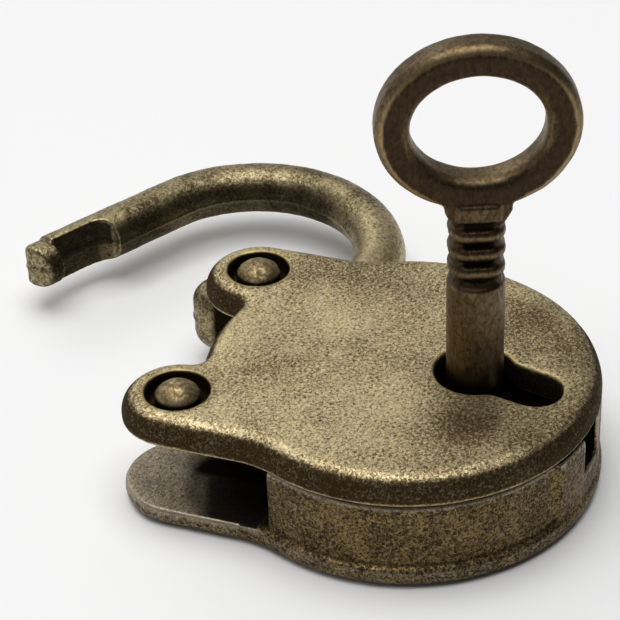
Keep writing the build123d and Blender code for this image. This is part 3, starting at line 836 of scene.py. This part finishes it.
@dataclass
class KeyCasting(Casting):
    """The key, whose neck and bow are laid out anew with the flat front and back that the mould left.

    A section is a width, a depth and the radius of its corners.
    """

    axis_mm: tuple[float, float] = (0.45, -4.95)
    bow_angle_deg: float = -68.0
    neck_low_mm: float = 17.55
    neck_high_mm: float = 22.0
    neck_overlap_mm: float = 0.6
    neck_section_mm: tuple[float, float, float] = (3.46, 2.5, 0.6)
    root_top_mm: float = 24.0
    root_half_depth_mm: float = 1.36
    root_half_width_mm: float = 2.3
    pad_section_mm: tuple[float, float, float] = (3.0, 3.2, 0.35)
    pad_span_mm: tuple[float, float] = (22.4, 23.6)
    collar_count: int = 3
    collar_first_mm: float = 18.3
    collar_pitch_mm: float = 1.465
    collar_section_mm: tuple[float, float, float] = (4.0, 3.5, 1.4)
    collar_bead_mm: float = 0.45
    collar_tall: float = 1.2
    collar_points: int = 20
    corner_points: int = 12
    bow_middle_mm: tuple[float, float] = (5.75, 5.05)
    bow_section_mm: tuple[float, float, float] = (2.4, 2.7, 0.85)
    bow_centre_mm: float = 29.3
    bow_points: int = 160
    bow_corner_points: int = 8
    hidden_below_mm: float = 7.2
    rim_lean: tuple[float, ...] = (0.15, 0.45, 0.7, 0.95)
    rim_rub_and_sheen_mm: tuple[float, ...] = (0.0, 0.3, 0.2, 0.15)
    face_lean: tuple[float, float] = (0.85, 0.97)
    face_shade: float = 0.52
    eye_lean: tuple[float, float] = (-0.7, -0.1)
    eye_sheen_mm: float = 0.18
    pad_rub_mm: float = 0.14
    collar_rub_mm: float = 0.18
    collar_half_mm: float = 0.42
    gap_shade: float = 0.75
    gap_half_mm: tuple[float, float] = (0.9, 1.45)

    def ways(self) -> tuple[Vector, Vector]:
        """Gives the directions across the bow and out of its front."""
        turn = radians(self.bow_angle_deg)
        return Vector((cos(turn), sin(turn), 0)), Vector((-sin(turn), cos(turn), 0))

    def mark(self, mesh: bpy.types.Mesh) -> None:
        """Darkens the part inside the lock and the gaps of the collars with painted shade and the bow's
        faces with patina and painted shade, paints a reflection inside the bow's eye, and rubs the edges,
        partly as painted highlights.

        Args:
            mesh: The skinned mesh in millimetres.
        """
        super().mark(mesh)
        places, normals = vertex_arrays(mesh)
        level = places[:, 2]
        # Painted shade: the part inside the lock goes fully dark
        deepen(mesh, SHADE, (level < self.hidden_below_mm).astype(float))
        across, front = (np.array(way) for way in self.ways())
        away = places - np.array((*self.axis_mm, self.bow_centre_mm))
        wide, tall = (half ** 2 for half in self.bow_middle_mm)
        outwards = (away @ across / wide)[:, None] * across + (away[:, 2:] / tall) * (0, 0, 1)
        outwards /= np.linalg.norm(outwards, axis=1)[:, None]
        facing = (normals * outwards).sum(axis=1)
        # Rubbed edges and painted highlights on the bow's outer rim
        rim = np.interp(facing, self.rim_lean, self.rim_rub_and_sheen_mm)
        # Painted reflection on the inside of the bow's eye
        eye = np.interp(facing, self.eye_lean, (self.eye_sheen_mm, 0))
        # Patina and painted shade on the bow's flat faces, which darkens their reflection
        flat = np.interp(np.abs(normals @ front), self.face_lean, (0, self.face_shade))
        low, high = self.pad_span_mm
        deepen(mesh, RELIEF, np.where(level > high, np.maximum(rim, eye), 0))
        deepen(mesh, SHADE, np.where(level > high, flat, 0))
        pad = (level > low) & (level < high) & (np.abs(away @ front) > self.root_half_depth_mm)
        deepen(mesh, RELIEF, np.where(pad, self.pad_rub_mm, 0))
        height = level - self.collar_first_mm
        step = np.clip(np.rint(height / self.collar_pitch_mm), 0, self.collar_count - 1)
        off = np.abs(height - step * self.collar_pitch_mm)
        crest = np.clip(1 - (off / self.collar_half_mm) ** 2, 0, 1)
        neck = (level > self.neck_low_mm) & (level < low)
        deepen(mesh, RELIEF, np.where(neck, crest * self.collar_rub_mm, 0))
        # Painted shade in the gaps between the collars, towards the middle of their width
        gap = np.interp(np.abs(away @ across), self.gap_half_mm, (self.gap_shade, 0))
        deepen(mesh, SHADE, np.where(neck & (off > self.collar_half_mm), gap, 0))

    def source(self, frame: Frame) -> bmesh.types.BMesh:
        """Takes the CAD key, cuts out its plain neck and puts the collared one and the bow's ring in.

        Args:
            frame: The loaded frame.

        Returns:
            The working mesh in millimetres.
        """
        work = bmesh.new()
        for level, keep_below in ((self.neck_low_mm, True), (self.neck_high_mm, False)):
            half = super().source(frame)
            bmesh.ops.bisect_plane(
                half, geom=half.verts[:] + half.edges[:] + half.faces[:], plane_co=(0, 0, level),
                plane_no=(0, 0, 1), clear_outer=keep_below, clear_inner=not keep_below,
            )
            bmesh.ops.edgeloop_fill(half, edges=[edge for edge in half.edges if edge.is_boundary])
            if not keep_below:
                self.flatten(half)
            take_in(work, drained(half, "key_half"))
        take_in(work, self.handle())
        return work

    def neighbours(self, frame: Frame) -> bmesh.types.BMesh:
        """Gives the shape that shades the key: the key itself with its new handle."""
        return self.source(frame)

    def flatten(self, work: bmesh.types.BMesh) -> None:
        """Presses the bow's root flat on its front, back and sides, as the mould left it.

        Args:
            work: The upper part of the key in millimetres.
        """
        across, front = self.ways()
        axis = Vector((*self.axis_mm, 0))
        for vert in work.verts:
            for way, limit in ((front, self.root_half_depth_mm), (across, self.root_half_width_mm)):
                reach = (vert.co - axis).dot(way)
                if abs(reach) > limit and vert.co.z < self.root_top_mm:
                    vert.co -= way * (reach - copysign(limit, reach))

    def handle(self) -> bpy.types.Mesh:
        """Builds the neck, its row of collars, the pad and the bow's ring with geometry nodes.

        Returns:
            Their closed parts as one mesh in millimetres.
        """
        wide, deep, corner = self.collar_section_mm
        bead = self.collar_bead_mm
        sizes = {
            "Neck Section": self.neck_section_mm, "Neck Low": self.neck_low_mm - self.neck_overlap_mm,
            "Neck High": self.neck_high_mm + self.neck_overlap_mm, "Pad Section": self.pad_section_mm,
            "Pad Low": self.pad_span_mm[0], "Pad High": self.pad_span_mm[1],
            "Collar Count": self.collar_count, "Collar First": self.collar_first_mm,
            "Collar Pitch": self.collar_pitch_mm,
            "Collar Section": (wide - 2 * bead, deep - 2 * bead, corner - bead), "Collar Bead": bead,
            "Collar Stretch": (1.0, self.collar_tall, 1.0), "Bow Shape": (*self.bow_middle_mm, 1.0),
            "Bow Section": self.bow_section_mm, "Bow Place": (0.0, 0.0, self.bow_centre_mm),
            "Material": self.material,
        }
        tree, add, given = new_tree("KeyHandle", {label: type(size) for label, size in sizes.items()})
        outlines = {}
        for block in ("Neck", "Pad", "Collar", "Bow"):
            size = add("ShaderNodeSeparateXYZ", {"Vector": given[f"{block} Section"]}).node.outputs
            box = add(
                "GeometryNodeCurvePrimitiveQuadrilateral", {"Width": size["X"], "Height": size["Y"]},
                mode="RECTANGLE",
            )
            points = self.bow_corner_points if block == "Bow" else self.corner_points
            outlines[block] = add(
                "GeometryNodeFilletCurve", {"Curve": box, "Radius": size["Z"], "Count": points}, mode="POLY",
            )
        levels = {
            label: add("ShaderNodeCombineXYZ", {"Z": given[label]})
            for label in ("Neck Low", "Neck High", "Pad Low", "Pad High", "Collar First", "Collar Pitch")
        }
        parts = []
        for block in ("Neck", "Pad"):
            path = add(
                "GeometryNodeCurvePrimitiveLine",
                {"Start": levels[f"{block} Low"], "End": levels[f"{block} High"]},
            )
            parts.append(add(SWEEP, {"Curve": path, "Profile Curve": outlines[block], "Fill Caps": True}))
        # The bow starts as a circle of radius 1, which its shape then stretches
        round_bead, circle = (
            add("GeometryNodeCurvePrimitiveCircle", {"Resolution": points, "Radius": radius}, mode="RADIUS")
            for points, radius in ((self.collar_points, given["Collar Bead"]), (self.bow_points, 1.0))
        )
        tall_bead = add(TRANSFORM, {"Geometry": round_bead, "Scale": given["Collar Stretch"]})
        collar = add(SWEEP, {"Curve": outlines["Collar"], "Profile Curve": tall_bead})
        row = add(
            "GeometryNodeMeshLine",
            {
                "Count": given["Collar Count"], "Start Location": levels["Collar First"],
                "Offset": levels["Collar Pitch"],
            },
            mode="OFFSET",
        )
        parts.append(add("GeometryNodeInstanceOnPoints", {"Points": row, "Instance": collar}))
        oval = add(TRANSFORM, {"Geometry": circle, "Scale": given["Bow Shape"]})
        ring = add(SWEEP, {"Curve": oval, "Profile Curve": outlines["Bow"]})
        parts.append(add(
            TRANSFORM,
            {"Geometry": ring, "Translation": given["Bow Place"], "Rotation": (QUARTER_TURN, 0, 0)},
        ))
        whole = add("GeometryNodeJoinGeometry")
        for part in parts:
            tree.links.new(part, whole.node.inputs["Geometry"])
        end_tree(add, whole, given["Material"])
        maker = placed("handle_maker", bpy.data.meshes.new("handle_maker"))
        add_tree(maker, tree, sizes)
        mesh = evaluated(maker)
        turn = Matrix.Rotation(radians(self.bow_angle_deg), 4, "Z")
        mesh.transform(Matrix.Translation((*self.axis_mm, 0)) @ turn)
        return mesh


@dataclass
class SubAssembly:
    """Pieces that move as one: castings that are made anew, and CAD nodes that only get a finish."""

    castings: tuple[Casting, ...] = ()
    plain_nodes: tuple[str, ...] = ()
    plain_finish: Finish = Finish.STEEL

    def build(self, frame: Frame, surface: bpy.types.NodeTree) -> None:
        """Makes the castings and dresses the nodes that stay.

        Args:
            frame: The loaded frame.
            surface: The tree that makes the cast skin.
        """
        for casting in self.castings:
            casting.build(frame, surface)
        if self.plain_nodes:
            self.dress(frame)

    def dress(self, frame: Frame) -> None:
        """Gives the CAD nodes that stay their finish.

        Args:
            frame: The loaded frame.
        """
        material = self.plain_finish.value.material()
        for name in self.plain_nodes:
            data = frame["nodes"][name].data
            data.materials.clear()
            data.materials.append(material)
            LOG.info("%s: CAD shape in %s", name, material.name)


@dataclass
class LockBody(SubAssembly):
    """The case, the front plate, the two domed heads and the fixed works inside."""

    castings: tuple[Casting, ...] = (
        CaseCasting(
            "case_casting", ("case",), "body", "case_bronze", Finish.CASE, voxel_mm=0.17,
            wave_height_mm=0.04, seam_height_mm=-0.2, seam_level_mm=6.98, seam_width_mm=0.26,
            shade_reach_mm=9.0,
            # Painted shade in the groove under the plate, with a rubbed lip below it
            patina_and_shade_bands=((6.62, 0.0), (6.72, 1.0), (7.0, 1.0)),
            rubbed=((6.38, 0.0), (6.46, 0.14), (6.62, 0.14), (6.7, 0.0)),
        ),
        PlateCasting(
            "front_plate_casting", ("front_plate",), "body", "plate_bronze", Finish.PLATE, voxel_mm=0.15,
            side_lean=0.94, side_fade=0.2,
            # Patina and painted shade down the rim's upright side, which also narrows its highlight
            patina_and_shade_bands=((7.2, 0.0), (7.36, 0.5), (8.2, 0.46), (8.9, 0.46), (9.15, 0.0)),
            rubbed=((7.0, 0.1), (7.15, 0.1), (7.3, 0.0)),
        ),
        Casting(
            "shackle_rivet_head", ("shackle_rivet",), "body", "rivet_bronze", Finish.RIVET, voxel_mm=0.1,
            wave_height_mm=0.11, wave_size_mm=0.9,
        ),
        Casting(
            "catch_ear_dome", ("catch_ear_stud",), "body", "rivet_bronze", Finish.RIVET, voxel_mm=0.1,
            wave_height_mm=0.02, wave_size_mm=1.4,
        ),
    )
    plain_nodes: tuple[str, ...] = (
        "cover_pins", "latch_guide_posts", "latch_spring", "spring_guide_pin", "key_post", "ward_ring",
    )


@dataclass
class Shackle(SubAssembly):
    """The bent rod with its toe, latch notch, arch, lug and heel."""

    castings: tuple[Casting, ...] = (
        ShackleCasting(
            "shackle_casting", ("shackle",), "shackle", "shackle_bronze", Finish.SHACKLE, voxel_mm=0.12,
            wave_height_mm=0.05, wave_size_mm=2.2, grain_height_mm=0.02, grain_size_mm=0.45,
            seam_height_mm=0.09, seam_level_mm=4.3, seam_width_mm=0.16,
        ),
    )


@dataclass
class Latch(SubAssembly):
    """The sliding latch inside the case."""

    plain_nodes: tuple[str, ...] = ("latch",)
    plain_finish: Finish = Finish.LATCH


@dataclass
class Key(SubAssembly):
    """The key with its oval bow, collared neck, hollow shank and bit."""

    castings: tuple[Casting, ...] = (
        KeyCasting(
            "key_casting", ("key",), "key", "key_bronze", Finish.KEY, voxel_mm=0.12, wave_height_mm=0.04,
            wave_size_mm=2.0, grain_height_mm=0.008, relief_reach=40,
            # Painted shade where the shank goes into the keyhole, and wear along the shank above it
            patina_and_shade_bands=((7.2, 1.0), (8.4, 0.9), (9.6, 0.25), (11.0, 0.0)),
            rubbed=((9.0, 0.0), (11.0, 0.16), (17.0, 0.16), (17.3, 0.0)),
        ),
    )


@dataclass(frozen=True)
class Lamp:
    """One soft box that faces the origin."""

    name: str
    place_m: tuple[float, float, float]
    size_m: tuple[float, float]
    power_w: float

    def build(self) -> bpy.types.Object:
        """Hangs the lamp.

        Returns:
            The lamp object.
        """
        data = bpy.data.lights.new(self.name, "AREA")
        data.shape = "RECTANGLE"
        data.size, data.size_y = self.size_m
        data.energy = self.power_w
        lamp = placed(self.name, data)
        lamp.location = self.place_m
        lamp.rotation_euler = (-Vector(self.place_m)).to_track_quat("-Z", "Y").to_euler()
        return lamp


@dataclass
class Studio:
    """Pale floor, soft lamps and the camera at the photo's angle."""

    floor_side_m: float = 2.4
    floor_drop_m: float = 0.00002
    floor_colour: str = "#FAFAFA"
    room_colour: str = "#FFFFFF"
    room_front: float = 0.04
    room_back: float = 0.5
    room_turn_deg: float = 40.0
    room_span: tuple[float, float] = (-0.5, 0.6)
    azimuth_deg: float = 290.89
    elevation_deg: float = 34.488
    roll_deg: float = -2.2085
    distance_m: float = 0.1757516
    near_share: float = 0.01
    target_m: tuple[float, float, float] = (0.0096954, 0.0109323, 0.005)
    focal_px: float = 2273.47
    lamps: tuple[Lamp, ...] = (
        Lamp("top_box", (-0.02, 0.02, 0.5), (0.42, 0.42), 2.0),
        Lamp("back_box", (0.32, 0.4, 0.35), (0.4, 0.2), 0.45),
    )

    def build(self) -> None:
        """Sets up floor, lamps, world and camera."""
        bpy.context.scene.view_settings.view_transform = "Standard"
        floor = self.floor()
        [lamp.build() for lamp in self.lamps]
        self.world()
        self.camera()

    def floor(self) -> bpy.types.Object:
        """Lays the sheet of studio paper.

        Returns:
            The floor object.
        """
        half = self.floor_side_m / 2
        corners = [(-half, -half), (half, -half), (half, half), (-half, half)]
        mesh = bpy.data.meshes.new("studio_paper")
        mesh.from_pydata([(x, y, -self.floor_drop_m) for x, y in corners], [], [(0, 1, 2, 3)])
        material, add = new_material("matte studio paper")
        paper = add("ShaderNodeBsdfDiffuse", {"Color": linear(self.floor_colour)})
        add("ShaderNodeOutputMaterial", {"Surface": paper})
        mesh.materials.append(material)
        return placed("studio_paper", mesh)

    def world(self) -> None:
        """Lights the room: a pale wall behind the lock to the left and a dark room behind the camera."""
        world = bpy.data.worlds.new("studio_room")
        world.use_nodes = True
        world.node_tree.nodes.clear()
        add = partial(add_node, world.node_tree)
        view = add("ShaderNodeTexCoord", output="Generated")
        azimuth = radians(self.azimuth_deg + self.room_turn_deg)
        wall_way = (-sin(azimuth), cos(azimuth), 0)
        ahead = add(VECTOR_MATH, {0: view, 1: wall_way}, operation="DOT_PRODUCT")
        level = add(
            MAP_RANGE,
            {
                "Value": ahead, "From Min": self.room_span[0], "From Max": self.room_span[1],
                "To Min": self.room_front, "To Max": self.room_back,
            },
            interpolation_type="SMOOTHSTEP",
        )
        light = add("ShaderNodeBackground", {"Color": linear(self.room_colour), "Strength": level})
        add("ShaderNodeOutputWorld", {"Surface": light})
        bpy.context.scene.world = world

    def camera(self) -> None:
        """Places the camera where the photo was taken."""
        azimuth, elevation = radians(self.azimuth_deg), radians(self.elevation_deg)
        back = Vector((sin(azimuth) * cos(elevation), -cos(azimuth) * cos(elevation), sin(elevation)))
        right = Vector((0, 0, 1)).cross(back).normalized()
        up = back.cross(right)
        turn = Matrix((right, up, back)).transposed().to_4x4()
        roll = Matrix.Rotation(radians(self.roll_deg), 4, "Z")
        data = bpy.data.cameras.new("photo_camera")
        data.sensor_width = SENSOR_MM
        data.lens = self.focal_px * SENSOR_MM / PICTURE_SIDE_PX
        data.clip_start = self.distance_m * self.near_share
        camera = placed("photo_camera", data)
        place = Matrix.Translation(Vector(self.target_m) + back * self.distance_m)
        camera.matrix_world = place @ turn @ roll
        bpy.context.scene.camera = camera


def main() -> None:
    """Builds every sub-assembly, then the studio."""
    logging.basicConfig(level=logging.INFO, format="%(message)s")
    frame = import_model()
    surface = cast_surface_tree()
    for assembly in (LockBody(), Shackle(), Latch(), Key()):
        assembly.build(frame, surface)
    Studio().build()


if __name__ == "__main__":
    main()
